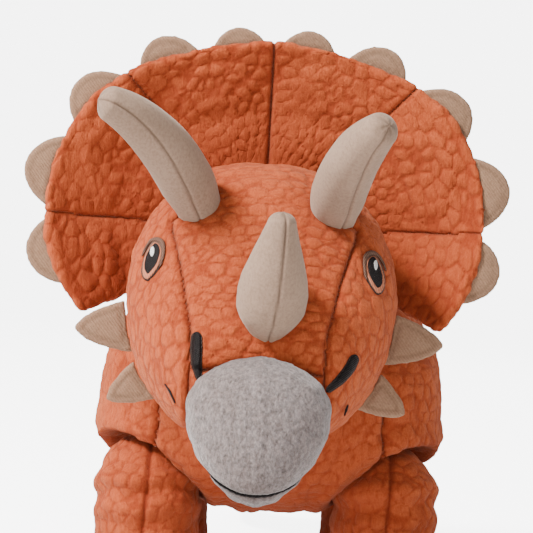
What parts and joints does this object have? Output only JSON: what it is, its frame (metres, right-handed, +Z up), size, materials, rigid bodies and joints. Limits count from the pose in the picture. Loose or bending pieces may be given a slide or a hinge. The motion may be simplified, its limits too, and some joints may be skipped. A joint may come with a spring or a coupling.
{
  "type": "stuffed dinosaur",
  "caption": "soft horned dinosaur toy standing on short legs, with a scalloped neck frill, felt cheek spikes, padded horns, a grey beak and a drooping tail",
  "frame": {"origin": "on the floor under the middle of the toy's bounding box", "axes": "+Z up, the toy faces -Y, its own left side is +X"},
  "size_m": [0.236, 0.4591, 0.2959],
  "materials": {
    "stuffing": "matte",
    "orange_plush": "matte",
    "beige_velour": "matte",
    "beige_felt": "matte",
    "grey_plush": "matte",
    "dark_thread": "matte",
    "eye_thread": "matte",
    "label_cloth": "matte"
  },
  "bodies": {
    "torso": {"torso_stuffing": "stuffing", "torso_left_panel": "orange_plush", "torso_right_panel": "orange_plush", "belly_panel": "orange_plush", "care_label": "label_cloth"},
    "neck": {"neck_stuffing": "stuffing"},
    "head": {"head_stuffing": "stuffing", "forehead_panel": "orange_plush", "chin_panel": "orange_plush", "cheek_left_panel": "orange_plush", "cheek_right_panel": "orange_plush", "beak_upper": "grey_plush", "beak_lower": "grey_plush", "mouth_stitch": "dark_thread", "eye_left": "eye_thread", "eye_right": "eye_thread", "nostril_left": "dark_thread", "nostril_right": "dark_thread", "frill_wadding": "stuffing", "frill_back_panel_left": "orange_plush", "frill_back_panel_right": "orange_plush", "frill_front_panel_1": "orange_plush", "frill_front_panel_2": "orange_plush", "frill_front_panel_3": "orange_plush", "frill_front_panel_4": "orange_plush", "frill_front_panel_5": "orange_plush", "frill_front_panel_6": "orange_plush", "frill_scallop_1": "beige_felt", "frill_scallop_2": "beige_felt", "frill_scallop_3": "beige_felt", "frill_scallop_4": "beige_felt", "frill_scallop_5": "beige_felt", "frill_scallop_6": "beige_felt", "frill_scallop_7": "beige_felt", "frill_scallop_8": "beige_felt", "frill_scallop_9": "beige_felt", "frill_scallop_10": "beige_felt", "cheek_spike_upper_left": "beige_felt", "cheek_spike_upper_right": "beige_felt", "cheek_spike_lower_left": "beige_felt", "cheek_spike_lower_right": "beige_felt"},
    "horn_left": {"brow_horn_left": "beige_velour"},
    "horn_right": {"brow_horn_right": "beige_velour"},
    "horn_nose": {"nose_horn": "beige_velour"},
    "tail": {"tail_stuffing": "stuffing", "tail_left_panel": "orange_plush", "tail_right_panel": "orange_plush"},
    "front_left_limb": {"front_left_leg": "orange_plush", "front_left_sole": "beige_felt", "front_left_toes": "beige_felt"},
    "front_right_limb": {"front_right_leg": "orange_plush", "front_right_sole": "beige_felt", "front_right_toes": "beige_felt"},
    "hind_left_limb": {"hind_left_leg": "orange_plush", "hind_left_sole": "beige_felt", "hind_left_toes": "beige_felt"},
    "hind_right_limb": {"hind_right_leg": "orange_plush", "hind_right_sole": "beige_felt", "hind_right_toes": "beige_felt"}
  },
  "joints": [
    {"name": "neck_nod", "type": "hinge", "parent": "torso", "child": "neck", "pos_m": [0, -0.092, 0.146], "axis": [1, 0, 0], "range_deg": [-10, 10], "stiffness_Nm_per_rad": 9},
    {"name": "head_turn", "type": "hinge", "parent": "neck", "child": "head", "pos_m": [0, -0.092, 0.146], "axis": [0, 0, 1], "range_deg": [-12, 12], "stiffness_Nm_per_rad": 5},
    {"name": "brow_horn_left_flex", "type": "hinge", "parent": "head", "child": "horn_left", "pos_m": [0.031, -0.17, 0.208], "axis": [1, 0, 0], "range_deg": [-8, 8], "stiffness_Nm_per_rad": 0.5},
    {"name": "brow_horn_right_flex", "type": "hinge", "parent": "head", "child": "horn_right", "pos_m": [-0.031, -0.17, 0.208], "axis": [1, 0, 0], "range_deg": [-8, 8], "stiffness_Nm_per_rad": 0.5},
    {"name": "nose_horn_flex", "type": "hinge", "parent": "head", "child": "horn_nose", "pos_m": [0.004, -0.199, 0.158], "axis": [1, 0, 0], "range_deg": [-8, 8], "stiffness_Nm_per_rad": 0.5},
    {"name": "tail_wag", "type": "hinge", "parent": "torso", "child": "tail", "pos_m": [0.008, 0.1, 0.106], "axis": [0, 0, 1], "range_deg": [-18, 18], "stiffness_Nm_per_rad": 3},
    {"name": "front_left_leg_swing", "type": "hinge", "parent": "torso", "child": "front_left_limb", "pos_m": [0.069, -0.058, 0.062], "axis": [1, 0, 0], "range_deg": [-18, 18], "stiffness_Nm_per_rad": 6},
    {"name": "front_right_leg_swing", "type": "hinge", "parent": "torso", "child": "front_right_limb", "pos_m": [-0.053, -0.058, 0.062], "axis": [1, 0, 0], "range_deg": [-18, 18], "stiffness_Nm_per_rad": 6},
    {"name": "hind_left_leg_swing", "type": "hinge", "parent": "torso", "child": "hind_left_limb", "pos_m": [0.069, 0.07, 0.062], "axis": [1, 0, 0], "range_deg": [-18, 18], "stiffness_Nm_per_rad": 6},
    {"name": "hind_right_leg_swing", "type": "hinge", "parent": "torso", "child": "hind_right_limb", "pos_m": [-0.053, 0.07, 0.062], "axis": [1, 0, 0], "range_deg": [-18, 18], "stiffness_Nm_per_rad": 6}
  ]
}
